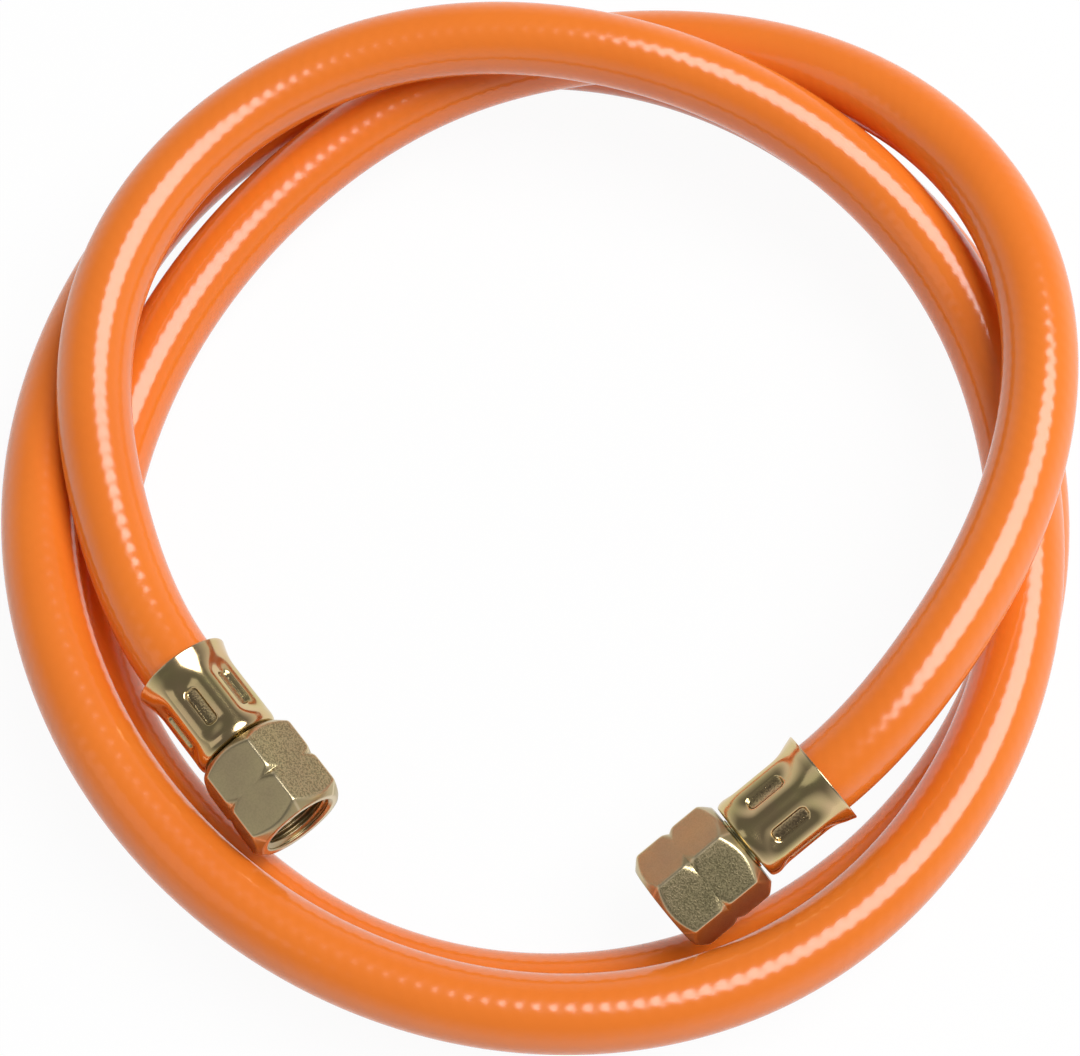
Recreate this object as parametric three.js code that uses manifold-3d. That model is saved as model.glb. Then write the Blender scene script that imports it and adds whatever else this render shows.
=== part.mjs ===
// A low-pressure gas hose assembly, lying in a loose coil.
// A glossy orange hose runs clockwise through 2.7 turns from end A to end B. Each end is crimped
// by a ferrule onto a hose nipple, which carries a free-turning hexagonal union nut.
// The corners of the nuts are notched, the usual sign of a left-hand gas thread.
// Units are millimetres, with +Z up. The coil lies on the plane z = 0.
import * as THREE from "three";
import { mergeVertices } from "three/addons/utils/BufferGeometryUtils.js";
import Module from "manifold-3d";

// Hose
const HOSE_OD = 13.3;
const HOSE_BORE = 6.3;
const HOSE_SIDES = 12;
const BORE_SIDES = 8;
const HOSE_STEPS = 96;

// Clearance between pieces that touch, and between strands that lie on each other
const SEAT_GAP = 0.3;

// Route of the coil: stations at equal steps of bearing, clockwise as seen from above.
// Each station is [radius, level]: the radius is a percentage of the coil's, and level 0 lies
// on the floor, level 1 on one strand and level 2 on two. The hose runs on past the first and
// the last station by END_REACH of a step.
const COIL_RADIUS = 100;
const FIRST_BEARING = 278.7;
const BEARING_STEP = 24.2;
const END_REACH = { a: 0.074, b: 0.052 };
const ROUTE = [
  [61.5, 1.25], [69, 1.15], [74.5, 1.25], [88, 1.5], [94.5, 1.55], [93.5, 1.8], [88.5, 1.9],
  [88.5, 1.55], [89, 1], [86, 0.95], [86, 1.05], [87.5, 1], [89, 0.9], [87.5, 0.95], [85.5, 1],
  [85, 1], [86.5, 1.05], [89.5, 0.85], [94, 0.4], [100.5, 0.25], [102, 0], [102.5, 0], [98, 0],
  [95, 0], [91, 0], [87, 0], [83.5, 0], [82.5, 0], [81.5, 0], [81, 0], [80, 0], [83.5, 0],
  [80, 0], [80.5, 0.1], [84, 0.35], [91.5, 0.75], [98.5, 1], [105, 1.45], [99, 2], [84, 2],
  [72, 2], [68.5, 1.65], [65.3, 1.02],
];

// Ferrule, along its axis from the mouth
const FERRULE_LENGTH = 17.2;
const FERRULE_WALL = 1;
const FERRULE_OD = 15.4;
const FERRULE_END_OD = 14.4;
const MOUTH_GAP = 1.1;
const FLARE_LENGTH = 5.5;
const FLARE_BEND = 3.6;
const END_ROUNDING = 0.75;
const FLANGE_THICKNESS = 1.2;
const FERRULE_SIDES = 48;

// Crimp: a broad dish round each of the pressed pockets
const POCKET_COUNT = 6;
const POCKET_CENTRE = 9.3;
const POCKET_LENGTH = 6.6;
const POCKET_WIDTH = 2.6;
const POCKET_DEPTH = 0.6;
const POCKET_FLANK = 0.9;
const DISH_DEPTH = 0.75;
const DISH_START = 1.5;
const DISH_END = 15.7;
const DISH_END_SHARE = 0.15;
const UNPRESSED_OD = 10;
const CRIMP_GAP = 0.5;
const CRIMP_ROOT = 0.6;

// Hose nipple
const NIPPLE_BORE = 4.5;
const TAIL_OD = 6.5;
const BARB_OD = 6.9;
const BARB_COUNT = 3;
const TAIL_START = 2;
const BARB_SLOPE_SHARE = 0.75;
const LAND_OD = 10.4;
const LAND_LENGTH = 0.6;
const GROOVE_OD = 8.8;
const NECK_OD = 9.8;
const COLLAR_OD = 10.8;
const COLLAR_LENGTH = 2.5;
const NOSE_LENGTH = 4;
const NOSE_BEND = 2.4;
const NOSE_TIP_OD = 6.4;
const NIPPLE_SIDES = 20;

// Union nut
const NUT_ACROSS_FLATS = 17;
const NUT_LENGTH = 16.6;
const NUT_STANDOFF = 0.7;
const NUT_FACE_OD = 15.7;
const NUT_CHAMFER_ANGLE = 43;
const NUT_BACK_WALL = 3;
const THREAD_MINOR = 11.45;
const THREAD_MAJOR = 13.2;
const RELIEF_LENGTH = 2;
const NOTCH_WIDTH = 2.2;
const NOTCH_DEPTH = 0.8;
const NUT_BORE_SIDES = 32;

// How far each end's pieces are turned about their own axis, in degrees from upright
const END_TURNS = {
  a: { nut: -6, pockets: 13 },
  b: { nut: 12, pockets: 30.5 },
};

const COLOURS = {
  hose: { color: 0xf08030, roughness: 0.3, metalness: 0 },
  ferrule: { color: 0xb0a468, roughness: 0.2, metalness: 1 },
  nipple: { color: 0xa89c62, roughness: 0.3, metalness: 1 },
  nut: { color: 0xa79a6c, roughness: 0.35, metalness: 1 },
};

const wasm = await Module();
wasm.setup();

const RADIANS = Math.PI / 180;
const HOSE_R = HOSE_OD / 2;
const LEVEL_HEIGHT = HOSE_OD + SEAT_GAP;
const BORE_OVERRUN = 1;

// A point on a profile: x is the radius and y the distance along the axis.
function at(along, diameter) {
  return new THREE.Vector2(diameter / 2, along);
}

function solidOf(geometry) {
  geometry.deleteAttribute("normal");
  geometry.deleteAttribute("uv");
  const merged = mergeVertices(geometry, 1e-4);
  return new wasm.Manifold(
    new wasm.Mesh({
      numProp: 3,
      vertProperties: merged.attributes.position.array,
      triVerts: new Uint32Array(merged.index.array),
    }),
  );
}

function geometryOf(solid) {
  const mesh = solid.getMesh();
  const geometry = new THREE.BufferGeometry();
  geometry.setAttribute("position", new THREE.BufferAttribute(mesh.vertProperties, 3));
  geometry.setIndex(new THREE.BufferAttribute(mesh.triVerts, 1));
  geometry.computeVertexNormals();
  return geometry;
}

function lathe(profile, sides) {
  return new THREE.LatheGeometry(profile, sides);
}

// The hose's centreline: a cubic B-spline through the stations' radius and level.
class CoilRoute extends THREE.Curve {
  getPoint(t, target = new THREE.Vector3()) {
    const spans = ROUTE.length - 3;
    const place = t * (spans + END_REACH.a + END_REACH.b) - END_REACH.a;
    const first = THREE.MathUtils.clamp(Math.floor(place), 0, spans - 1);
    const u = place - first;
    const weights = [
      (1 - u) ** 3 / 6,
      (3 * u ** 3 - 6 * u ** 2 + 4) / 6,
      (-3 * u ** 3 + 3 * u ** 2 + 3 * u + 1) / 6,
      u ** 3 / 6,
    ];
    let radius = 0;
    let level = 0;
    weights.forEach((weight, i) => {
      radius += weight * ROUTE[first + i][0];
      level += weight * ROUTE[first + i][1];
    });
    radius *= COIL_RADIUS / 100;
    const bearing = (FIRST_BEARING - BEARING_STEP * (place + 1)) * RADIANS;
    return target.set(
      radius * Math.cos(bearing),
      radius * Math.sin(bearing),
      HOSE_R + level * LEVEL_HEIGHT,
    );
  }
}

// The frame of an end fitting: its origin is the middle of the ferrule's mouth, +Y points out
// of the hose along the fitting's axis, and +Z is the upper side.
function fittingFrame(mouth, outward) {
  const side = new THREE.Vector3().crossVectors(outward, new THREE.Vector3(0, 0, 1)).normalize();
  const upper = new THREE.Vector3().crossVectors(side, outward);
  const basis = new THREE.Matrix4().makeBasis(side, outward, upper);
  return basis.setPosition(mouth);
}

// Diameter of the ferrule's outside, before it is crimped.
function ferruleOd(along) {
  const mouthOd = HOSE_OD + 2 * (MOUTH_GAP + FERRULE_WALL);
  const rise = Math.max(1 - along / FLARE_LENGTH, 0) ** 2;
  return FERRULE_OD + (mouthOd - FERRULE_OD) * rise;
}

const POCKET_START = POCKET_CENTRE - POCKET_LENGTH / 2;
const POCKET_END = POCKET_CENTRE + POCKET_LENGTH / 2;

// Stations along the crimp at which the flare, the dishes and the pockets change.
function crimpRows(from, to) {
  const rows = [
    DISH_START,
    FLARE_BEND,
    POCKET_START - POCKET_FLANK / 2,
    POCKET_START + POCKET_FLANK / 2,
    POCKET_END - POCKET_FLANK / 2,
    POCKET_END + POCKET_FLANK / 2,
    DISH_END,
  ];
  return [from, ...rows.filter((row) => row > from && row < to), to];
}

// 1 inside a span of the given length, falling to 0 across its flank.
function pressedShare(distance, length) {
  const beyond = Math.abs(distance) - (length / 2 - POCKET_FLANK / 2);
  return 1 - THREE.MathUtils.clamp(beyond / POCKET_FLANK, 0, 1);
}

// How deep the dishes are at a distance from the mouth: full beside the pockets, and a part
// of that at the end.
function dishShare(along) {
  const opening = THREE.MathUtils.clamp((along - DISH_START) / (POCKET_START - DISH_START), 0, 1);
  const closing = THREE.MathUtils.clamp((along - POCKET_END) / (DISH_END - POCKET_END), 0, 1);
  return opening * (1 - (1 - DISH_END_SHARE) * closing);
}

// A turned piece of the crimp, with its dishes and pockets pressed in towards the axis.
// Its bore, or the hole of its flange, stays round.
function crimped(profile, turn) {
  const geometry = lathe(profile, FERRULE_SIDES);
  geometry.rotateY(turn * RADIANS);
  const position = geometry.getAttribute("position");
  const pitch = (2 * Math.PI) / POCKET_COUNT;
  for (let i = 0; i < position.count; i++) {
    const x = position.getX(i);
    const along = position.getY(i);
    const z = position.getZ(i);
    const radius = Math.hypot(x, z);
    if (radius < UNPRESSED_OD / 2) continue;
    const angle = Math.atan2(x, z) - turn * RADIANS;
    const aside = (angle - pitch * Math.round(angle / pitch)) * (FERRULE_OD / 2);
    const dish = DISH_DEPTH * dishShare(along) * (0.5 + 0.5 * Math.cos(POCKET_COUNT * angle));
    const pocket =
      POCKET_DEPTH *
      pressedShare(aside, POCKET_WIDTH) *
      pressedShare(along - POCKET_CENTRE, POCKET_LENGTH);
    const scale = (radius - dish - pocket) / radius;
    position.setXYZ(i, x * scale, along, z * scale);
  }
  return geometry;
}

const FLANGE_START = FERRULE_LENGTH - FLANGE_THICKNESS;
const LAND_START = FLANGE_START - SEAT_GAP - LAND_LENGTH;
const HOSE_END = LAND_START - SEAT_GAP;

function ferruleGeometry(turn) {
  const cornerStart = FERRULE_LENGTH - END_ROUNDING;
  const outer = crimpRows(0, cornerStart).map((row) => at(row, ferruleOd(row)));
  const inner = crimpRows(0, FLANGE_START).map((row) => at(row, ferruleOd(row) - 2 * FERRULE_WALL));
  const flangeId = GROOVE_OD + 2 * SEAT_GAP;
  const profile = [
    ...outer,
    at(FERRULE_LENGTH, FERRULE_END_OD),
    at(FERRULE_LENGTH, flangeId),
    at(FLANGE_START, flangeId),
    ...inner.reverse(),
    outer[0].clone(),
  ];
  return crimped(profile, turn);
}

// The stretch of hose squeezed between the ferrule and the nipple's tail. It starts inside the
// wall of the round hose, so that the two join into one body.
function crimpedHose(turn) {
  const rootOd = HOSE_OD - CRIMP_ROOT;
  const bore = BARB_OD + 2 * SEAT_GAP;
  const squeezed = (row) => Math.min(ferruleOd(row) - 2 * (FERRULE_WALL + CRIMP_GAP), rootOd);
  const outer = crimpRows(0, HOSE_END).map((row) => at(row, squeezed(row)));
  const profile = [
    at(-CRIMP_ROOT, rootOd),
    ...outer,
    at(HOSE_END, bore),
    at(-CRIMP_ROOT, bore),
    at(-CRIMP_ROOT, rootOd),
  ];
  return crimped(profile, turn);
}

function roundOutline(diameter, sides) {
  return Array.from({ length: sides }, (_, i) => {
    const angle = (i / sides) * 2 * Math.PI;
    return new THREE.Vector2(Math.cos(angle), Math.sin(angle)).multiplyScalar(diameter / 2);
  });
}

function hoseGeometry(route, ends) {
  const section = new THREE.Shape(roundOutline(HOSE_OD, HOSE_SIDES));
  section.holes.push(new THREE.Path(roundOutline(HOSE_BORE, BORE_SIDES)));
  const tube = new THREE.ExtrudeGeometry(section, { steps: HOSE_STEPS, extrudePath: route });
  let hose = solidOf(tube);
  for (const end of ends)
    hose = hose.add(solidOf(crimpedHose(end.turns.pockets).applyMatrix4(end.frame)));
  return geometryOf(hose);
}

// The turned nipple: barbed tail, land and groove that hold the ferrule's flange, neck, collar
// and the cone that seals against the mating part.
function nippleGeometry() {
  const barbPitch = (HOSE_END - TAIL_START) / BARB_COUNT;
  const barbs = [];
  for (let i = 0; i < BARB_COUNT; i++) {
    const start = TAIL_START + i * barbPitch;
    barbs.push(at(start, TAIL_OD), at(start + barbPitch * BARB_SLOPE_SHARE, BARB_OD));
  }
  const landEnd = LAND_START + LAND_LENGTH;
  const grooveEnd = FERRULE_LENGTH + SEAT_GAP;
  const collarStart = FERRULE_LENGTH + NUT_STANDOFF + NUT_BACK_WALL + SEAT_GAP;
  const collarEnd = collarStart + COLLAR_LENGTH;
  const tip = collarEnd + NOSE_LENGTH;
  const profile = [
    ...barbs,
    at(LAND_START, TAIL_OD),
    at(LAND_START, LAND_OD),
    at(landEnd, LAND_OD),
    at(landEnd, GROOVE_OD),
    at(grooveEnd, GROOVE_OD),
    at(grooveEnd, NECK_OD),
    at(collarStart, NECK_OD),
    at(collarStart, COLLAR_OD),
    at(collarEnd, COLLAR_OD),
    at(collarEnd + NOSE_BEND, (COLLAR_OD + NOSE_TIP_OD) / 2),
    at(tip, NOSE_TIP_OD),
    at(tip, NIPPLE_BORE),
    at(TAIL_START, NIPPLE_BORE),
    at(TAIL_START, TAIL_OD),
  ];
  return lathe(profile, NIPPLE_SIDES);
}

// The union nut, from its back face at 0 to its mouth at NUT_LENGTH.
function nutGeometry() {
  const cornerR = NUT_ACROSS_FLATS / 2 / Math.cos(30 * RADIANS);
  const cornerOd = 2 * cornerR;
  const hexagon = new THREE.CylinderGeometry(cornerR, cornerR, NUT_LENGTH, 6);
  hexagon.translate(0, NUT_LENGTH / 2, 0);

  const chamfer = ((cornerOd - NUT_FACE_OD) / 2) * Math.tan(NUT_CHAMFER_ANGLE * RADIANS);
  const turned = [
    at(0, 0),
    at(0, NUT_FACE_OD),
    at(chamfer, cornerOd),
    at(chamfer, cornerOd + BORE_OVERRUN),
    at(NUT_LENGTH - chamfer, cornerOd + BORE_OVERRUN),
    at(NUT_LENGTH - chamfer, cornerOd),
    at(NUT_LENGTH, NUT_FACE_OD),
    at(NUT_LENGTH, 0),
  ];

  const neckHole = NECK_OD + 2 * SEAT_GAP;
  const leadIn = (THREAD_MAJOR - THREAD_MINOR) / 2;
  const reliefEnd = NUT_BACK_WALL + RELIEF_LENGTH;
  const bore = [
    at(-BORE_OVERRUN, 0),
    at(-BORE_OVERRUN, neckHole),
    at(NUT_BACK_WALL, neckHole),
    at(NUT_BACK_WALL, THREAD_MAJOR),
    at(reliefEnd, THREAD_MAJOR),
    at(reliefEnd + leadIn, THREAD_MINOR),
    at(NUT_LENGTH - leadIn, THREAD_MINOR),
    at(NUT_LENGTH, THREAD_MAJOR),
    at(NUT_LENGTH + BORE_OVERRUN, THREAD_MAJOR + 2 * BORE_OVERRUN),
    at(NUT_LENGTH + BORE_OVERRUN, 0),
  ];

  const middle = NUT_LENGTH / 2;
  const spread = (NOTCH_WIDTH / 2) * (1 + BORE_OVERRUN / NOTCH_DEPTH);
  const notchOd = cornerOd + 2 * BORE_OVERRUN;
  const notch = [
    at(middle, cornerOd - 2 * NOTCH_DEPTH),
    at(middle - spread, notchOd),
    at(middle + spread, notchOd),
    at(middle, cornerOd - 2 * NOTCH_DEPTH),
  ];

  const nut = solidOf(hexagon)
    .intersect(solidOf(lathe(turned, NUT_BORE_SIDES)))
    .subtract(solidOf(lathe(bore, NUT_BORE_SIDES)))
    .subtract(solidOf(lathe(notch, NUT_BORE_SIDES)));
  return geometryOf(nut);
}

function meshOf(name, finish, geometry) {
  const mesh = new THREE.Mesh(geometry, new THREE.MeshStandardMaterial(COLOURS[finish]));
  mesh.name = name;
  return mesh;
}

function buildFitting(key, end) {
  const fitting = new THREE.Group();
  fitting.applyMatrix4(end.frame);
  const nut = meshOf(`union_nut_${key}`, "nut", nutGeometry());
  nut.position.y = FERRULE_LENGTH + NUT_STANDOFF;
  nut.rotation.y = end.turns.nut * RADIANS;
  fitting.add(
    meshOf(`ferrule_${key}`, "ferrule", ferruleGeometry(end.turns.pockets)),
    meshOf(`nipple_${key}`, "nipple", nippleGeometry()),
    nut,
  );
  return fitting;
}

function buildAssembly() {
  const route = new CoilRoute();
  const ends = {
    a: {
      frame: fittingFrame(route.getPoint(0), route.getTangent(0).negate()),
      turns: END_TURNS.a,
    },
    b: {
      frame: fittingFrame(route.getPoint(1), route.getTangent(1)),
      turns: END_TURNS.b,
    },
  };
  const assembly = new THREE.Group();
  const hose = meshOf("hose", "hose", hoseGeometry(route, Object.values(ends)));
  assembly.add(hose);
  for (const [key, end] of Object.entries(ends)) assembly.add(buildFitting(key, end));

  // The origin is under the middle of the coil, on the floor.
  const box = new THREE.Box3().setFromObject(assembly);
  const middle = box.getCenter(new THREE.Vector3());
  assembly.position.set(-middle.x, -middle.y, -box.min.z);
  return assembly;
}

export default buildAssembly();
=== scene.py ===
"""A flexible gas hose, lying in a loose coil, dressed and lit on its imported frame.

Each end of the hose carries a crimped ferrule, a hose nipple and a free-turning union nut.
Lengths are metres, and every piece stands where the frame has it.
"""

import logging
import math
from dataclasses import dataclass
from enum import Enum

import bmesh
import bpy
import numpy as np
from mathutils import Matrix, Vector


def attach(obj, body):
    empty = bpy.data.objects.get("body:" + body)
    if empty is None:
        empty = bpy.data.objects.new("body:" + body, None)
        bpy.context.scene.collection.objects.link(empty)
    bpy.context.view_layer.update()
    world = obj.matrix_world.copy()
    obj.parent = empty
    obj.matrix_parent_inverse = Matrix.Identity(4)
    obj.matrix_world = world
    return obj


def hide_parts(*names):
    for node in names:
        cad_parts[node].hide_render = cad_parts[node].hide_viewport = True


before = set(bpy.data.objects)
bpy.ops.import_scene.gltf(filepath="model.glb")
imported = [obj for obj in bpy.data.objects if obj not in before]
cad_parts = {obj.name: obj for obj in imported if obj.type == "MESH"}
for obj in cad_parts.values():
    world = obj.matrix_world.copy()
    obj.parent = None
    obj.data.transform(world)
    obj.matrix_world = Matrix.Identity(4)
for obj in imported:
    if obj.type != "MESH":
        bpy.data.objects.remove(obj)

LOG = logging.getLogger("gas_hose")

MM = 0.001
FULL_TURN = 2 * math.pi
TURNS_MAP = "turns"
EDGE_MASK = "edge"
COARSE_AND_SHADE_MASK = "coarse_and_shade"
BLACK = (0.0, 0.0, 0.0, 1.0)
WHITE = (1.0, 1.0, 1.0, 1.0)
WHOLE = (0.0, 1.0)
MIX_COLOURS = (6, 7)
MIX_RESULT = 2
ROUTE_SAMPLES = 6001
MOTTLE_DETAIL = 3.0
GRAIN_DETAIL = 2.0
NOISE_MIDDLE = 0.5
COAT_CONTRAST = 2.5
SPECK_BRIGHTNESS = 0.45
SPECK_NOISE = (0.44, 0.6)
HEX_SIDES = 6
HEX_DEGREES = 360 / HEX_SIDES
HEX_SECTOR = math.radians(HEX_DEGREES)


class Body(Enum):
    """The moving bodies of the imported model."""

    HOSE = "hose_body"
    NUT_A = "nut_a"
    NUT_B = "nut_b"


class Slot(Enum):
    """The record's material slots."""

    HOSE = "hose"
    FERRULE = "ferrule"
    NIPPLE = "nipple"
    NUT = "nut"


def linear(red: int, green: int, blue: int) -> tuple[float, float, float, float]:
    """Turns a display colour into the renderer's linear light.

    Args:
        red: Red, 0 to 255.
        green: Green, 0 to 255.
        blue: Blue, 0 to 255.

    Returns:
        Linear red, green, blue and an alpha of 1.
    """
    channels = []
    for value in (red, green, blue):
        share = value / 255
        channels.append(share / 12.92 if share <= 0.04045 else ((share + 0.055) / 1.055) ** 2.4)
    return (channels[0], channels[1], channels[2], 1.0)


def smooth_step(value: np.ndarray, low: float, high: float) -> np.ndarray:
    """Rises smoothly from 0 at low to 1 at high.

    Args:
        value: Values to carry over.
        low: Where the rise starts.
        high: Where it ends.

    Returns:
        The risen values, from 0 to 1.
    """
    share = np.clip((value - low) / (high - low), 0, 1)
    return share * share * (3 - 2 * share)


def soft_min(values: list[np.ndarray], softness: float) -> np.ndarray:
    """The least of several surfaces, with their meeting edges rounded.

    Args:
        values: Radii of the surfaces, all of one shape.
        softness: Size of the rounding, in the units of the radii.

    Returns:
        The rounded least radius.
    """
    stacked = np.stack(np.broadcast_arrays(*values))
    least = stacked.min(axis=0)
    return least - softness * np.log(np.exp(-(stacked - least) / softness).sum(axis=0))


def running_length(line: np.ndarray) -> np.ndarray:
    """Distance of each point along a line.

    Args:
        line: Points in order.

    Returns:
        The distances from the first point.
    """
    step = np.linalg.norm(np.diff(line, axis=0), axis=1)
    return np.concatenate([[0], np.cumsum(step)])


def new_object(name: str, data: bpy.types.ID) -> bpy.types.Object:
    """Makes an object and puts it in the scene.

    Args:
        name: Name of the object.
        data: Its mesh, lamp or camera.

    Returns:
        The object.
    """
    made = bpy.data.objects.new(name, data)
    bpy.context.scene.collection.objects.link(made)
    return made


@dataclass(frozen=True)
class FittingPlace:
    """Where an end fitting stands: the middle of its ferrule's mouth and its three directions."""

    mouth: np.ndarray
    outward: np.ndarray
    side: np.ndarray
    upper: np.ndarray

    @classmethod
    def at(cls, mouth: np.ndarray, outward: np.ndarray) -> "FittingPlace":
        """Stands a fitting at a point.

        Args:
            mouth: Middle of the ferrule's mouth.
            outward: Unit direction of the fitting's axis, out of the hose.

        Returns:
            The fitting's place, with its upper side up.
        """
        side = np.cross(outward, (0.0, 0.0, 1.0))
        side /= np.linalg.norm(side)
        return cls(mouth, outward, side, np.cross(side, outward))

    def points(self, radius: np.ndarray, angle: np.ndarray, along: np.ndarray) -> np.ndarray:
        """Places points given round the fitting's axis.

        Args:
            radius: Distances from the axis.
            angle: Angles from the upper side, in radians.
            along: Distances from the mouth, outward.

        Returns:
            The points, in the part's frame, with one more dimension than the inputs.
        """
        radius, angle, along = np.broadcast_arrays(radius, angle, along)
        across = radius * np.sin(angle)
        height = radius * np.cos(angle)
        return (
            self.mouth
            + along[..., None] * self.outward
            + across[..., None] * self.side
            + height[..., None] * self.upper
        )


@dataclass(frozen=True)
class CoilRoute:
    """The hose's centreline: a cubic B-spline led by stations of radius and level.

    The stations stand at equal steps of bearing, clockwise as seen from above. Level 0 lies
    on the floor, level 1 on one strand and level 2 on two. The hose runs a part of a step
    past the first and the last station.
    """

    first_bearing: float = math.radians(278.7)
    bearing_step: float = math.radians(24.2)
    end_reach: tuple[float, float] = (0.074, 0.052)
    lowest: float = 6.65 * MM
    level_height: float = 13.6 * MM
    origin: tuple[float, float, float] = (5.7091 * MM, -8.0882 * MM, -0.0809 * MM)
    tangent_step: float = 1e-4
    stations: tuple[tuple[float, float], ...] = (
        (61.5, 1.25), (69, 1.15), (74.5, 1.25), (88, 1.5), (94.5, 1.55), (93.5, 1.8),
        (88.5, 1.9), (88.5, 1.55), (89, 1), (86, 0.95), (86, 1.05), (87.5, 1), (89, 0.9),
        (87.5, 0.95), (85.5, 1), (85, 1), (86.5, 1.05), (89.5, 0.85), (94, 0.4), (100.5, 0.25),
        (102, 0), (102.5, 0), (98, 0), (95, 0), (91, 0), (87, 0), (83.5, 0), (82.5, 0),
        (81.5, 0), (81, 0), (80, 0), (83.5, 0), (80, 0), (80.5, 0.1), (84, 0.35), (91.5, 0.75),
        (98.5, 1), (105, 1.45), (99, 2), (84, 2), (72, 2), (68.5, 1.65), (65.3, 1.02),
    )

    def points(self, share: np.ndarray) -> np.ndarray:
        """Points of the route.

        Args:
            share: Places along the route, from 0 at end A to 1 at end B.

        Returns:
            The points, in the part's frame.
        """
        stations = np.array(self.stations)
        spans = len(stations) - 3
        before, after = self.end_reach
        place = np.asarray(share, float) * (spans + before + after) - before
        first = np.clip(np.floor(place).astype(int), 0, spans - 1)
        u = place - first
        weights = np.stack(
            [
                (1 - u) ** 3 / 6,
                (3 * u**3 - 6 * u**2 + 4) / 6,
                (-3 * u**3 + 3 * u**2 + 3 * u + 1) / 6,
                u**3 / 6,
            ],
            axis=-1,
        )
        near = stations[first[..., None] + np.arange(4)]
        radius, level = np.moveaxis((weights[..., None] * near).sum(axis=-2), -1, 0)
        bearing = self.first_bearing - self.bearing_step * (place + 1)
        height = self.lowest + level * self.level_height
        point = (radius * MM * np.cos(bearing), radius * MM * np.sin(bearing), height)
        return np.stack(point, axis=-1) + np.array(self.origin)

    def spaced(self, spacing: float) -> np.ndarray:
        """Points of the route at equal distances along it.

        Args:
            spacing: Distance between two points.

        Returns:
            The points, from end A to end B.
        """
        share = np.linspace(0, 1, ROUTE_SAMPLES)
        line = self.points(share)
        reached = running_length(line)
        wanted = np.linspace(0, reached[-1], round(reached[-1] / spacing) + 1)
        return self.points(np.interp(wanted, reached, share))

    def ends(self) -> tuple[FittingPlace, FittingPlace]:
        """The places of fitting A and fitting B."""
        step = self.tangent_step
        start, past_start, before_end, end = self.points(np.array([0, step, 1 - step, 1]))
        out_a = (start - past_start) / np.linalg.norm(start - past_start)
        out_b = (end - before_end) / np.linalg.norm(end - before_end)
        return FittingPlace.at(start, out_a), FittingPlace.at(end, out_b)


@dataclass
class RingSurface:
    """A mesh skinned over rings of points, with its turns and lengths kept for the finishes.

    Args:
        points: Rings by points by three coordinates.
        along: Distance of each ring along the surface, for the finishes.
        closed: Whether the last ring joins the first, or else both end in a cap.
    """

    points: np.ndarray
    along: np.ndarray
    closed: bool = True

    def faces(self) -> list[tuple[int, ...]]:
        """The faces between the rings, and the caps."""
        rings, sides = self.points.shape[:2]
        spans = rings if self.closed else rings - 1
        ring, side = np.meshgrid(np.arange(spans), np.arange(sides), indexing="ij")
        here, ahead, beside = ring * sides, (ring + 1) % rings * sides, (side + 1) % sides
        quads = np.stack([here + side, here + beside, ahead + beside, ahead + side], axis=-1)
        made = [tuple(quad) for quad in quads.reshape(-1, 4).tolist()]
        if not self.closed:
            made.append(tuple(reversed(range(sides))))
            made.append(tuple(range((rings - 1) * sides, rings * sides)))
        return made

    def piece(self, name: str, masks: dict[str, np.ndarray]) -> bpy.types.Object:
        """Makes the object.

        Args:
            name: Name of the piece.
            masks: Name and values of each mask, from 0 to 1, as rings by points.

        Returns:
            The smooth-shaded object, with its turns map.
        """
        mesh = bpy.data.meshes.new(name)
        mesh.from_pydata(self.points.reshape(-1, 3).tolist(), [], self.faces())
        work = bmesh.new()
        work.from_mesh(mesh)
        bmesh.ops.recalc_face_normals(work, faces=work.faces)
        work.to_mesh(mesh)
        work.free()
        mesh.shade_smooth()
        self.map_turns(mesh)
        for mask, values in masks.items():
            layer = mesh.attributes.new(mask, "FLOAT", "POINT")
            layer.data.foreach_set("value", np.ascontiguousarray(values, np.float32).ravel())
        return new_object(name, mesh)

    def map_turns(self, mesh: bpy.types.Mesh) -> None:
        """Writes the turns map: turns round the axis, and metres along the surface.

        Args:
            mesh: The skinned mesh.
        """
        rings, sides = self.points.shape[:2]
        corner = np.empty(len(mesh.loops), np.int32)
        mesh.loops.foreach_get("vertex_index", corner)
        sizes = np.empty(len(mesh.polygons), np.int32)
        mesh.polygons.foreach_get("loop_total", sizes)
        face = np.repeat(np.arange(len(mesh.polygons)), sizes)
        ring, side = np.divmod(corner, sides)
        last_side = (face % sides == sides - 1) & (side == 0)
        last_span = self.closed & (face // sides == rings - 1) & (ring == 0)
        turns = np.where(last_side, 1.0, side / sides)
        lengths = np.where(last_span, self.along[-1], self.along[ring])
        layer = mesh.uv_layers.new(name=TURNS_MAP)
        layer.data.foreach_set("uv", np.stack([turns, lengths], axis=-1).astype(np.float32).ravel())


def dress(piece: bpy.types.Object, material: bpy.types.Material) -> None:
    """Gives a piece its finish.

    Args:
        piece: The piece.
        material: Its material.
    """
    piece.data.materials.append(material)


def fill(node: bpy.types.Node, constants: dict[str, object]) -> None:
    """Sets inputs of a node.

    Args:
        node: The node.
        constants: Values of its inputs, by name.
    """
    for name, value in constants.items():
        node.inputs[name].default_value = value


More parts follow.
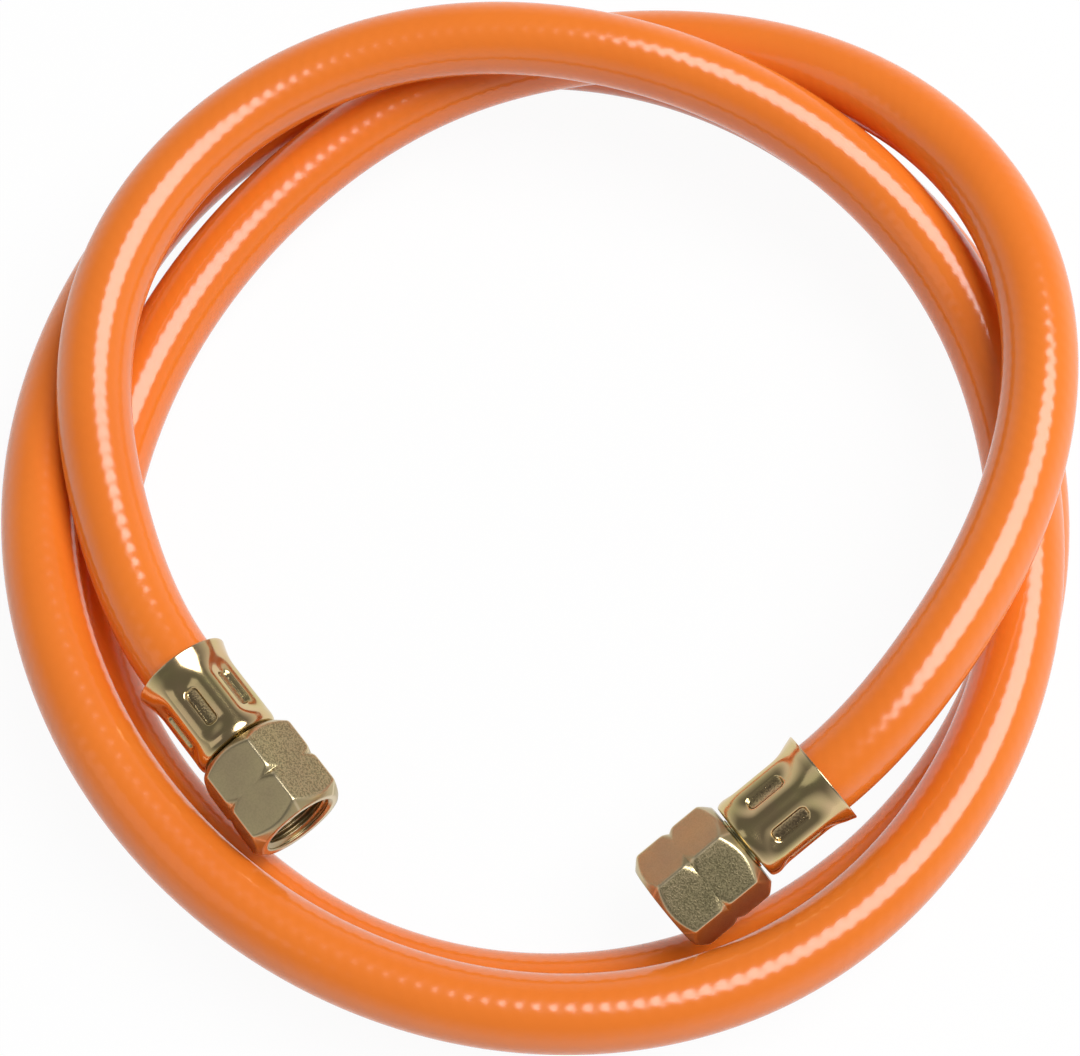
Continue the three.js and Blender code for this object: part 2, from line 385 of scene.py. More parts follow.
@dataclass
class NodeSheet:
    """A short way to add and join shader nodes in the tree of a material, world or group."""

    tree: bpy.types.NodeTree

    def add(
        self, kind: str, constants: dict[str, object] | None = None, **settings: object
    ) -> bpy.types.Node:
        """Adds a node.

        Args:
            kind: The node's type name.
            constants: Values of its inputs, by name.
            settings: Properties of the node.

        Returns:
            The node.
        """
        node = self.tree.nodes.new(kind)
        for key, value in settings.items():
            setattr(node, key, value)
        fill(node, constants or {})
        return node

    def join(self, source: object, target: bpy.types.NodeSocket) -> None:
        """Joins an output to an input, or sets the input.

        Args:
            source: The output, or a number or colour, or None for an input left as it is.
            target: The input.
        """
        if isinstance(source, bpy.types.NodeSocket):
            self.tree.links.new(source, target)
        elif source is not None:
            target.default_value = source

    def math(self, operation: str, first: object, second: object = None) -> bpy.types.NodeSocket:
        """Adds a math node.

        Args:
            operation: Blender's name of the operation.
            first: A socket or a number.
            second: A socket or a number, where the operation takes two.

        Returns:
            The node's output.
        """
        node = self.add("ShaderNodeMath", operation=operation)
        self.join(first, node.inputs[0])
        self.join(second, node.inputs[1])
        return node.outputs[0]

    def ranged(
        self, value: bpy.types.NodeSocket, source: tuple[float, float], target: tuple[float, float]
    ) -> bpy.types.NodeSocket:
        """Carries a value from one range to another, held at its ends.

        Args:
            value: The value's socket.
            source: Range that it comes in.
            target: Range that it goes out in.

        Returns:
            The node's output.
        """
        names = ("From Min", "From Max", "To Min", "To Max")
        node = self.add("ShaderNodeMapRange", dict(zip(names, source + target)))
        self.join(value, node.inputs["Value"])
        return node.outputs["Result"]

    def blend(
        self, share: bpy.types.NodeSocket, first: object, second: object
    ) -> bpy.types.NodeSocket:
        """Blends two colours.

        Args:
            share: Socket of the second colour's share.
            first: A colour or a socket.
            second: A colour or a socket.

        Returns:
            The blended colour's socket.
        """
        node = self.add("ShaderNodeMix", data_type="RGBA")
        self.join(share, node.inputs["Factor"])
        for place, colour in zip(MIX_COLOURS, (first, second)):
            self.join(colour, node.inputs[place])
        return node.outputs[MIX_RESULT]


class EffectGroups:
    """The effects that several finishes share, each built once as a node group."""

    def __init__(self) -> None:
        """Builds the groups."""
        self.mottle = self.build_mottle()
        self.grain = self.build_grain()

    @staticmethod
    def start(
        name: str, inputs: dict[str, float], outputs: tuple[str, ...], detail: float
    ) -> tuple[NodeSheet, bpy.types.Node, bpy.types.Node, bpy.types.NodeSocket]:
        """Starts a group with its sockets and its noise.

        Args:
            name: Name of the group.
            inputs: Names and starting values of its number inputs.
            outputs: Names of its number outputs.
            detail: Detail of the noise.

        Returns:
            The group's sheet, its entry and exit, and the noise's value.
        """
        group = bpy.data.node_groups.new(name, "ShaderNodeTree")
        for socket_name, value in inputs.items():
            socket = group.interface.new_socket(
                socket_name, in_out="INPUT", socket_type="NodeSocketFloat"
            )
            socket.default_value = value
        for socket_name in outputs:
            group.interface.new_socket(socket_name, in_out="OUTPUT", socket_type="NodeSocketFloat")
        sheet = NodeSheet(group)
        entry, leave = sheet.add("NodeGroupInput"), sheet.add("NodeGroupOutput")
        place = sheet.add("ShaderNodeTexCoord")
        noise = sheet.add("ShaderNodeTexNoise", {"Detail": detail})
        sheet.join(place.outputs["Object"], noise.inputs["Vector"])
        sheet.join(entry.outputs["Scale"], noise.inputs["Scale"])
        return sheet, entry, leave, noise.outputs["Fac"]

    def build_mottle(self) -> bpy.types.NodeTree:
        """Soft cloudy patches, as in a passivated coat or a handled cover."""
        inputs = {"Scale": 200.0, "Contrast": 1.0}
        sheet, entry, leave, value = self.start("mottled_patches", inputs, ("Mask",), MOTTLE_DETAIL)
        centred = sheet.math("SUBTRACT", value, NOISE_MIDDLE)
        spread = sheet.math("MULTIPLY", centred, entry.outputs["Contrast"])
        clamped = sheet.add("ShaderNodeClamp")
        sheet.join(sheet.math("ADD", spread, NOISE_MIDDLE), clamped.inputs["Value"])
        sheet.join(clamped.outputs["Result"], leave.inputs["Mask"])
        return sheet.tree

    def build_grain(self) -> bpy.types.NodeTree:
        """Fine pits and specks, as on a cut and coated metal face."""
        outputs = ("Height", "Specks")
        sheet, _, leave, value = self.start("fine_grain", {"Scale": 4000.0}, outputs, GRAIN_DETAIL)
        sheet.join(value, leave.inputs["Height"])
        sheet.join(sheet.ranged(value, SPECK_NOISE, WHOLE), leave.inputs["Specks"])
        return sheet.tree


def new_material(
    name: str, constants: dict[str, object]
) -> tuple[bpy.types.Material, NodeSheet, bpy.types.Node]:
    """Starts a material.

    Args:
        name: Name of the material.
        constants: Values of its surface shader's inputs, by name.

    Returns:
        The material, its node sheet and its surface shader.
    """
    material = bpy.data.materials.new(name)
    material.use_nodes = True
    surface = material.node_tree.nodes["Principled BSDF"]
    fill(surface, constants)
    return material, NodeSheet(material.node_tree), surface


@dataclass(frozen=True)
class HoseFinish:
    """Glossy flexible cover, with the braid beneath it showing as a faint ripple."""

    colour: tuple[float, float, float, float] = linear(238, 127, 43)
    deeper: tuple[float, float, float, float] = linear(231, 118, 37)
    roughness: float = 0.17
    roughness_spread: float = 0.03
    specular: float = 0.7
    patch_scale: float = 30.0
    patch_contrast: float = 1.6
    ripple_pitch: float = 2.8 * MM
    ripple_count: float = 10.0
    ripple_height: float = 0.014 * MM

    def material(self, effects: EffectGroups) -> bpy.types.Material:
        """Builds the material.

        Args:
            effects: The shared effects.

        Returns:
            The material.
        """
        material, sheet, surface = new_material("hose_cover", {"Specular IOR Level": self.specular})
        patches = {"Scale": self.patch_scale, "Contrast": self.patch_contrast}
        mottle = sheet.add("ShaderNodeGroup", patches, node_tree=effects.mottle)
        colour = sheet.blend(mottle.outputs["Mask"], self.colour, self.deeper)
        sheet.join(colour, surface.inputs["Base Color"])
        low, high = self.roughness - self.roughness_spread, self.roughness + self.roughness_spread
        gloss = sheet.ranged(mottle.outputs["Mask"], WHOLE, (low, high))
        sheet.join(gloss, surface.inputs["Roughness"])

        turns = sheet.add("ShaderNodeUVMap", uv_map=TURNS_MAP)
        split = sheet.add("ShaderNodeSeparateXYZ")
        sheet.join(turns.outputs["UV"], split.inputs["Vector"])
        along = sheet.math("MULTIPLY", split.outputs["Y"], FULL_TURN / self.ripple_pitch)
        around = sheet.math("MULTIPLY", split.outputs["X"], FULL_TURN * self.ripple_count)
        ripple = sheet.math("MULTIPLY", sheet.math("COSINE", along), sheet.math("COSINE", around))
        bump = sheet.add("ShaderNodeBump", {"Distance": self.ripple_height})
        sheet.join(ripple, bump.inputs["Height"])
        sheet.join(bump.outputs["Normal"], surface.inputs["Normal"])
        return material


@dataclass(frozen=True)
class PassivatedSteel:
    """Steel with a yellow passivated coat, with painted shade on some faces and wear and painted
    highlights at the edges.
    """

    name: str
    colour: tuple[float, float, float, float]
    tint: tuple[float, float, float, float]
    # Lighter colour for wear and painted highlights at the edges.
    edge: tuple[float, float, float, float]
    roughness: tuple[float, float]
    patch_scale: float
    grain_scale: float
    grain_height: float
    smooth_share: float
    speck_share: tuple[float, float]
    # Brightness of the smooth and the grained faces: painted shade that darkens the base colour.
    painted_shade: tuple[float, float]

    def material(self, effects: EffectGroups) -> bpy.types.Material:
        """Builds the material.

        Args:
            effects: The shared effects.

        Returns:
            The material.
        """
        material, sheet, surface = new_material(self.name, {"Metallic": 1.0})
        patches = {"Scale": self.patch_scale, "Contrast": COAT_CONTRAST}
        mottle = sheet.add("ShaderNodeGroup", patches, node_tree=effects.mottle)
        grain = sheet.add("ShaderNodeGroup", {"Scale": self.grain_scale}, node_tree=effects.grain)
        patched = sheet.blend(mottle.outputs["Mask"], self.colour, self.tint)
        dark = tuple(channel * SPECK_BRIGHTNESS for channel in self.colour[:3]) + (1.0,)
        coarse_and_shade = sheet.add("ShaderNodeAttribute", attribute_name=COARSE_AND_SHADE_MASK)
        share = sheet.ranged(coarse_and_shade.outputs["Fac"], WHOLE, self.speck_share)
        specks = sheet.math("MULTIPLY", grain.outputs["Specks"], share)
        # Painted shade: the base colour is darkened towards black by the painted shade pair, smooth
        # faces against grained ones.
        light = sheet.ranged(coarse_and_shade.outputs["Fac"], WHOLE, self.painted_shade)
        shaded = sheet.blend(light, BLACK, patched)
        specked = sheet.blend(specks, shaded, dark)
        # Painted highlight and wear: the edge mask mixes the lighter edge colour into the base
        # colour.
        wear_and_highlight = sheet.add("ShaderNodeAttribute", attribute_name=EDGE_MASK)
        bright = sheet.blend(wear_and_highlight.outputs["Fac"], specked, self.edge)
        sheet.join(bright, surface.inputs["Base Color"])
        gloss = sheet.ranged(mottle.outputs["Mask"], WHOLE, self.roughness)
        sheet.join(gloss, surface.inputs["Roughness"])
        bump = sheet.add("ShaderNodeBump", {"Distance": self.grain_height})
        strength = sheet.ranged(coarse_and_shade.outputs["Fac"], WHOLE, (self.smooth_share, 1.0))
        sheet.join(strength, bump.inputs["Strength"])
        sheet.join(grain.outputs["Height"], bump.inputs["Height"])
        sheet.join(bump.outputs["Normal"], surface.inputs["Normal"])
        return material


FERRULE_FINISH = PassivatedSteel(
    name="ferrule_bright",
    colour=linear(216, 186, 144),
    tint=linear(206, 190, 134),
    edge=linear(240, 224, 196),
    roughness=(0.13, 0.2),
    patch_scale=180.0,
    grain_scale=3200.0,
    grain_height=0.05 * MM,
    smooth_share=0.05,
    speck_share=(0.0, 0.7),
    # Painted shade: the pocket floors are darkened to 0.85 of the coat colour.
    painted_shade=(1.0, 0.85),
)
NUT_FINISH = PassivatedSteel(
    name="nut_satin",
    colour=linear(212, 196, 148),
    tint=linear(200, 180, 142),
    edge=linear(240, 222, 184),
    roughness=(0.28, 0.36),
    patch_scale=120.0,
    grain_scale=3300.0,
    grain_height=0.04 * MM,
    smooth_share=0.1,
    speck_share=(0.05, 0.85),
    # Painted shade: every face but the grained flats is darkened to 0.76 of the coat colour.
    painted_shade=(0.76, 1.0),
)
NIPPLE_FINISH = PassivatedSteel(
    name="nipple_turned",
    colour=linear(196, 184, 140),
    tint=linear(184, 178, 122),
    edge=linear(230, 220, 186),
    roughness=(0.2, 0.28),
    patch_scale=200.0,
    grain_scale=3500.0,
    grain_height=0.006 * MM,
    smooth_share=1.0,
    speck_share=(0.1, 0.1),
    painted_shade=(1.0, 1.0),
)


@dataclass
class Ferrule:
    """The crimped sleeve: flared mouth, dished crimp with pressed pockets, rounded shoulder."""

    length: float = 17.2 * MM
    wall: float = 1 * MM
    mouth_radius: float = 8.75 * MM
    ridge_radius: float = 7.7 * MM
    flare_length: float = 5.5 * MM
    dish_depth: float = 0.9 * MM
    dish_start: float = 1.5 * MM
    dish_end: float = 15.7 * MM
    dish_end_share: float = 0.15
    pocket_count: int = 6
    pocket_centre: float = 9.3 * MM
    pocket_length: float = 7.0 * MM
    pocket_width: float = 2.6 * MM
    pocket_depth: float = 0.6 * MM
    pocket_flank: float = 0.45 * MM
    pocket_width_per_rounding: float = 3
    flange_thickness: float = 1.2 * MM
    flange_hole_radius: float = 4.7 * MM
    lip_rounding: float = 0.3 * MM
    end_rounding: float = 1.5 * MM
    end_drop: float = 0.6 * MM
    end_shares: tuple[float, ...] = (0.1, 0.5, 1.0)
    bend_rows: int = 6
    lip_wear_and_highlight: float = 0.25
    lip_wear_and_highlight_ends: tuple[float, float] = (0.1 * MM, 0.7 * MM)
    row_step: float = 0.17 * MM
    inner_row_step: float = 0.5 * MM
    sides: int = 240

    def outer(self, angle: np.ndarray, along: np.ndarray | float) -> np.ndarray:
        """Radius of the outside.

        Args:
            angle: Angles from the middle of a pocket, in radians.
            along: Distances from the mouth, or one distance.

        Returns:
            The radius at each place.
        """
        flare = np.clip(1 - along / self.flare_length, 0, 1) ** 2
        body = self.ridge_radius + (self.mouth_radius - self.ridge_radius) * flare
        pocket_end = self.pocket_centre + self.pocket_length / 2
        opening = smooth_step(along, self.dish_start, self.pocket_centre - self.pocket_length / 2)
        closing = (1 - self.dish_end_share) * smooth_step(along, pocket_end, self.dish_end)
        wave = 0.5 + 0.5 * np.cos(self.pocket_count * angle)
        body = body - self.dish_depth * opening * (1 - closing) * wave
        return body - self.pocket_depth * self.pressed(angle, along)

    def pressed(self, angle: np.ndarray, along: np.ndarray | float) -> np.ndarray:
        """How far the pockets are pressed in.

        Args:
            angle: Angles from the middle of a pocket, in radians.
            along: Distances from the mouth, or one distance.

        Returns:
            1 on a pocket's floor, 0 outside the pockets.
        """
        pitch = FULL_TURN / self.pocket_count
        aside = (angle - pitch * np.round(angle / pitch)) * self.ridge_radius
        beyond_side = np.abs(aside) - self.pocket_width / 2
        beyond_end = np.abs(along - self.pocket_centre) - self.pocket_length / 2
        rounding = self.pocket_width / self.pocket_width_per_rounding
        outside = np.hypot(
            np.maximum(beyond_side + rounding, 0), np.maximum(beyond_end + rounding, 0)
        )
        distance = outside + np.minimum(np.maximum(beyond_side, beyond_end) + rounding, 0)
        return 1 - smooth_step(distance - rounding, -self.pocket_flank / 2, self.pocket_flank / 2)

    def build(self, name: str, place: FittingPlace, turn: float) -> bpy.types.Object:
        """Makes the ferrule.

        Args:
            name: Name of the piece.
            place: Where the fitting stands.
            turn: How far the first pocket is turned from upright, in degrees.

        Returns:
            The object.
        """
        local = np.linspace(0, FULL_TURN, self.sides, endpoint=False)[None, :]
        bend = np.linspace(0, math.pi / 2, self.bend_rows)
        rings: list[tuple[np.ndarray | float, float]] = []
        lip, corner = self.lip_rounding, self.length - self.end_rounding
        for angle in bend[::-1]:
            distance = lip * (1 - math.sin(angle))
            rings.append((self.outer(local, distance) - lip * (1 - math.cos(angle)), distance))
        for distance in np.arange(lip + self.row_step, corner, self.row_step):
            rings.append((self.outer(local, distance), distance))
        edge = self.outer(local, corner)
        for angle in bend:
            distance = corner + self.end_rounding * math.sin(angle)
            rings.append((edge - self.end_drop * (1 - math.cos(angle)), distance))
        end_radius = self.ridge_radius - self.dish_depth - self.end_drop
        for share in self.end_shares:
            inward = end_radius + (self.flange_hole_radius - end_radius) * share
            rings.append((inward, self.length))
        inside_end = self.length - self.flange_thickness
        rings.append((self.flange_hole_radius, inside_end))
        for distance in [*np.arange(inside_end, 0, -self.inner_row_step), 0.0]:
            rings.append((self.outer(local, distance) - self.wall, distance))

        radius = np.array([np.broadcast_to(each, local.shape)[0] for each, _ in rings])
        distance = np.array([np.full(self.sides, each) for _, each in rings])
        points = place.points(radius, local + math.radians(turn), distance)
        surface = RingSurface(points, running_length(points[:, 0]))
        # Painted highlight and wear: the lip is lightened, most at the mouth.
        wear_and_highlight = self.lip_wear_and_highlight * (1 - smooth_step(distance, *self.lip_wear_and_highlight_ends))
        coarse_and_shade = self.pressed(local, distance)
        return surface.piece(name, {EDGE_MASK: wear_and_highlight, COARSE_AND_SHADE_MASK: coarse_and_shade})


@dataclass
class Nipple:
    """The turned hose nipple, whose neck, collar and cone show through the nut."""

    bore_radius: float = 2.25 * MM
    tail_start: float = 2 * MM
    tail_radius: float = 3.25 * MM
    barb_radius: float = 3.45 * MM
    barb_count: int = 3
    land_start: float = 15.1 * MM
    land_end: float = 15.7 * MM
    land_radius: float = 5.2 * MM
    groove_radius: float = 4.4 * MM
    neck_start: float = 17.5 * MM
    neck_radius: float = 4.9 * MM
    collar_start: float = 21.2 * MM
    collar_end: float = 23.7 * MM
    collar_radius: float = 5.4 * MM
    nose_end: float = 27.7 * MM
    nose_radius: float = 3.2 * MM
    nose_fullness: float = 1.36
    nose_rows: int = 9
    edge: float = 0.1 * MM
    sharp_angle: float = math.radians(40)
    sides: int = 96

    def outline(self) -> np.ndarray:
        """The turned profile.

        Returns:
            Distances from the ferrule's mouth and radii, as points by two.
        """
        edge = self.edge
        rows: list[tuple[float, float]] = []
        pitch = (self.land_start - self.tail_start) / self.barb_count
        for i in range(self.barb_count):
            start = self.tail_start + i * pitch
            rows += [(start, self.tail_radius), (start + pitch - edge, self.barb_radius)]
        rows += [
            (self.land_start, self.tail_radius),
            (self.land_start, self.land_radius),
            (self.land_end, self.land_radius),
            (self.land_end, self.groove_radius),
            (self.neck_start, self.groove_radius),
            (self.neck_start, self.neck_radius - edge),
            (self.neck_start + edge, self.neck_radius),
            (self.collar_start, self.neck_radius),
            (self.collar_start, self.collar_radius - edge),
            (self.collar_start + edge, self.collar_radius),
        ]
        for share in np.linspace(0, 1, self.nose_rows):
            fall = (self.collar_radius - self.nose_radius) * share**self.nose_fullness
            reached = self.collar_end + (self.nose_end - edge - self.collar_end) * share
            rows.append((reached, self.collar_radius - fall))
        rows += [
            (self.nose_end, self.nose_radius - edge),
            (self.nose_end, self.bore_radius + edge),
            (self.nose_end - edge, self.bore_radius),
            (self.tail_start, self.bore_radius),
        ]
        return np.array(rows)

    def build(self, name: str, place: FittingPlace) -> bpy.types.Object:
        """Makes the nipple.

        Args:
            name: Name of the piece.
            place: Where the fitting stands.

        Returns:
            The object.
        """
        outline = self.outline()
        angle = np.linspace(0, FULL_TURN, self.sides, endpoint=False)[None, :]
        points = place.points(outline[:, 1:], angle, outline[:, :1])
        surface = RingSurface(points, running_length(outline))
        piece = surface.piece(name, {})
        piece.data.set_sharp_from_angle(angle=self.sharp_angle)
        return piece


@dataclass
class UnionNut:
    """The union nut: chamfered hexagon, notched corners and a left-hand thread."""

    across_flats: float = 17 * MM
    length: float = 16.6 * MM
    start: float = 17.9 * MM
    face_radius: float = 7.85 * MM
    chamfer_angle: float = math.radians(43)
    corner_rounding: float = 0.16 * MM
    notch_depth: float = 0.8 * MM
    notch_width: float = 2.2 * MM
    back_wall: float = 3 * MM
    neck_hole_radius: float = 5.2 * MM
    relief_length: float = 2 * MM
    thread_minor: float = 5.72 * MM
    thread_major: float = 6.58 * MM
    thread_pitch: float = 1.337 * MM
    mouth_radius: float = 6.75 * MM
    mouth_chamfer: float = 0.9 * MM
    thread_row_step: float = 0.105 * MM
    hole_edge: float = 0.2 * MM
    back_edge: float = 0.3 * MM
    mouth_rims: tuple[float, float] = (0.55 * MM, 0.12 * MM)
    end_band: float = 2.6 * MM
    notch_band: float = 1.4 * MM
    band_rows: tuple[int, ...] = (22, 12, 29, 12, 22)
    row_decimals: int = 7
    sector_columns: int = 32
    crowding: float = 1.6
    least_facing: float = 0.2
    corner_wear_and_highlight: float = 0.6
    chamfer_wear_and_highlight: float = 0.25
    face_wear_and_highlight: float = 0.45
    corner_wear_and_highlight_ends: tuple[float, float] = (0.05 * MM, 0.4 * MM)
    chamfer_wear_and_highlight_ends: tuple[float, float] = (0.1 * MM, 0.45 * MM)
    flat_margin: float = 0.3 * MM
    flat_coarseness_and_shade: tuple[float, ...] = (0.2, 0.9, 0.35, 0.8, 0.3, 1.0)

    def columns(self) -> np.ndarray:
        """Angles of the columns from a corner, crowded towards the corners."""
        share = np.linspace(-1, 1, self.sector_columns, endpoint=False)
        crowded = np.sign(share) * (1 - (1 - np.abs(share)) ** self.crowding)
        sector = HEX_SECTOR / 2 * (crowded + 1)
        return np.concatenate([sector + HEX_SECTOR * k for k in range(HEX_SIDES)])

    def outer(self, angle: np.ndarray, along: np.ndarray) -> np.ndarray:
        """Radius of the outside.

        Args:
            angle: Angles from a corner, in radians.
            along: Distances from the back face.

        Returns:
            The radius at each place.
        """
        half = self.across_flats / 2
        surfaces = []
        for k in range(HEX_SIDES):
            facing = np.cos(angle - math.radians(HEX_DEGREES * (k + 0.5)))
            surfaces.append(half / np.maximum(facing, self.least_facing))
        slope = 1 / math.tan(self.chamfer_angle)
        corner = half / math.cos(HEX_SECTOR / 2)
        surfaces.append(self.face_radius + slope * along)
        surfaces.append(self.face_radius + slope * (self.length - along))
        from_middle = np.abs(along - self.length / 2)
        notch_slope = self.notch_depth / (self.notch_width / 2)
        surfaces.append(corner - self.notch_depth + notch_slope * from_middle)
        return soft_min(surfaces, self.corner_rounding)

    def rows(self) -> np.ndarray:
        """Distances of the outside's rows from the back face."""
        low, high = self.length / 2 - self.notch_band, self.length / 2 + self.notch_band
        marks = (0, self.end_band, low, high, self.length - self.end_band, self.length)
        bands = [np.linspace(*band) for band in zip(marks, marks[1:], self.band_rows)]
        return np.unique(np.round(np.concatenate(bands), self.row_decimals))

    def bore(self, angle: np.ndarray) -> tuple[np.ndarray, np.ndarray]:
        """The bore, from the mouth to the back face.

        Args:
            angle: Angles of the columns, in radians.

        Returns:
            Radius and distance of each point, as rings by columns.
        """
        relief_end = self.back_wall + self.relief_length
        distance = np.arange(self.length, relief_end, -self.thread_row_step)[:, None]
        phase = FULL_TURN * distance / self.thread_pitch + angle
        depth = self.thread_major - self.thread_minor
        ridge = self.thread_minor + depth * (0.5 - 0.5 * np.cos(phase))
        fall = (self.mouth_radius - self.thread_minor) / self.mouth_chamfer
        cone = self.mouth_radius - (self.length - distance) * fall
        threaded = np.maximum(ridge, cone)
        plain = [
            (self.thread_major, relief_end),
            (self.thread_major, self.back_wall),
            (self.neck_hole_radius + self.hole_edge, self.back_wall),
            (self.neck_hole_radius, self.back_wall - self.hole_edge),
            (self.neck_hole_radius, self.back_edge),
            (self.neck_hole_radius + self.back_edge, 0.0),
        ]
        radius = np.concatenate([threaded, *[np.full_like(angle, r) for r, _ in plain]])
        length = np.concatenate(
            [np.broadcast_to(distance, threaded.shape), *[np.full_like(angle, d) for _, d in plain]]
        )
        return radius, length

    def build(self, name: str, place: FittingPlace, turn: float) -> bpy.types.Object:
        """Makes the nut.

        Args:
            name: Name of the piece.
            place: Where the fitting stands.
            turn: How far the first corner is turned from upright, in degrees.

        Returns:
            The object.
        """
        angle = self.columns()[None, :]
        distance = self.rows()[:, None]
        outside = self.outer(angle, distance)
        wear_and_highlight, flat = self.edge_wear_and_highlight(angle, distance, outside)
        lengths = np.broadcast_to(distance, outside.shape)
        rims = [np.full_like(angle, self.mouth_radius + beyond) for beyond in self.mouth_rims]
        faces = np.concatenate(rims)
        face_length = np.full_like(faces, self.length)
        inside, inside_length = self.bore(angle)
        radius = np.concatenate([outside, faces, inside])
        along = np.concatenate([lengths, face_length, inside_length])
        plain = np.zeros_like(inside)
        # Painted highlight and wear: the edge mask lightens the corners and chamfer borders and,
        # evenly, the front face.
        masks = {
            EDGE_MASK: np.concatenate([wear_and_highlight, np.full_like(faces, self.face_wear_and_highlight), plain]),
            COARSE_AND_SHADE_MASK: np.concatenate([flat, np.zeros_like(faces), plain]),
        }
        points = place.points(radius, angle + math.radians(turn), along + self.start)
        surface = RingSurface(points, running_length(points[:, 0]))
        return surface.piece(name, masks)

    def edge_wear_and_highlight(
        self, angle: np.ndarray, along: np.ndarray, outside: np.ndarray
    ) -> tuple[np.ndarray, np.ndarray]:
        """How far wear and painted highlights lighten the outside, and where its flats are.

        Args:
            angle: Angles of the columns from a corner.
            along: Distances of the rows from the back face.
            outside: Radius of the outside.

        Returns:
            The wear and painted highlight of each point, most at the corners, and how grained each
            flat is, which also sets its painted shade.
        """
        across = (angle + HEX_SECTOR / 2) % HEX_SECTOR - HEX_SECTOR / 2
        at_corner = 1 - smooth_step(np.abs(across) * outside, *self.corner_wear_and_highlight_ends)
        flat = self.across_flats / 2 / np.cos(HEX_SECTOR / 2 - np.abs(across))
        slope = 1 / math.tan(self.chamfer_angle)
        from_end = np.minimum(along, self.length - along)
        above = self.face_radius + slope * from_end - flat
        at_chamfer = 1 - smooth_step(np.abs(above), *self.chamfer_wear_and_highlight_ends)
        # Painted highlight and wear: the corners and the chamfer borders are lightened.
        wear_and_highlight = np.maximum(at_corner * self.corner_wear_and_highlight, at_chamfer * self.chamfer_wear_and_highlight)
        # Grain and painted shade: each flat has its own share from the list, and the smoother flats
        # render darker.
        number = (angle // HEX_SECTOR).astype(int) % len(self.flat_coarseness_and_shade)
        coarse_and_shade = np.array(self.flat_coarseness_and_shade)[number]
        return wear_and_highlight, coarse_and_shade * smooth_step(above, 0.0, self.flat_margin) * (1 - at_corner)


@dataclass
class CoiledHose:
    """The hose in its coil, with both ends squeezed inside their ferrules."""

    route: CoilRoute
    diameter: float = 13.3 * MM
    squeezed_diameter: float = 10.2 * MM
    squeeze_start: float = 1.5 * MM
    squeeze_end: float = 5.0 * MM
    crimped_length: float = 14.8 * MM
    sides: int = 48
    ring_spacing: float = 1.2 * MM
    crimped_spacing: float = 0.5 * MM

    def centreline(self) -> tuple[np.ndarray, np.ndarray]:
        """The centreline, from inside ferrule A to inside ferrule B.

        Returns:
            The points, and how far each is inside a ferrule.
        """
        place_a, place_b = self.route.ends()
        depth = np.arange(0, self.crimped_length, self.crimped_spacing)[1:]
        into_a = place_a.mouth + depth[::-1, None] * place_a.outward
        into_b = place_b.mouth + depth[:, None] * place_b.outward
        free = self.route.spaced(self.ring_spacing)
        inside = np.concatenate([depth[::-1], np.zeros(len(free)), depth])
        return np.concatenate([into_a, free, into_b]), inside

    def build(self, name: str) -> bpy.types.Object:
        """Makes the hose.

        Args:
            name: Name of the piece.

        Returns:
            The object.
        """
        line, inside = self.centreline()
        tangent = np.gradient(line, axis=0)
        tangent /= np.linalg.norm(tangent, axis=1)[:, None]
        side = np.cross(tangent, (0.0, 0.0, 1.0))
        side /= np.linalg.norm(side, axis=1)[:, None]
        upper = np.cross(side, tangent)
        squeeze = smooth_step(inside, self.squeeze_start, self.squeeze_end)
        radius = (self.diameter + (self.squeezed_diameter - self.diameter) * squeeze) / 2
        angle = np.linspace(0, FULL_TURN, self.sides, endpoint=False)
        across = np.sin(angle)[None, :, None] * side[:, None, :]
        height = np.cos(angle)[None, :, None] * upper[:, None, :]
        points = line[:, None, :] + radius[:, None, None] * (across + height)
        surface = RingSurface(points, running_length(line), closed=False)
        return surface.piece(name, {})


class End(Enum):
    """The two ends of the hose."""

    A = "a"
    B = "b"


@dataclass
class EndFitting:
    """Everything on one end of the hose: ferrule, nipple and union nut."""

    end: End
    place: FittingPlace
    nut_body: Body
    pocket_turn: float
    nut_turn: float

    def build(self, materials: dict[Slot, bpy.types.Material]) -> list[bpy.types.Object]:
        """Args:
            materials: The material of each slot.

        Returns:
            The ferrule, the nipple and the nut.
        """
        letter = self.end.value
        ferrule = Ferrule().build(f"crimped_ferrule_{letter}", self.place, self.pocket_turn)
        nipple = Nipple().build(f"hose_nipple_{letter}", self.place)
        nut = UnionNut().build(f"threaded_nut_{letter}", self.place, self.nut_turn)
        for piece, node, body, slot in (
            (ferrule, f"ferrule_{letter}", Body.HOSE, Slot.FERRULE),
            (nipple, f"nipple_{letter}", Body.HOSE, Slot.NIPPLE),
            (nut, f"union_nut_{letter}", self.nut_body, Slot.NUT),
        ):
            dress(piece, materials[slot])
            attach(piece, body.value)
            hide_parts(node)
            LOG.info("%s stands for %s and rides on %s", piece.name, node, body.value)
        return [ferrule, nipple, nut]


class LampShape(Enum):
    """Outline of a soft lamp, with the share of its box that it fills."""

    BOX = ("RECTANGLE", 1.0)
    ROUND = ("ELLIPSE", math.pi / 4)


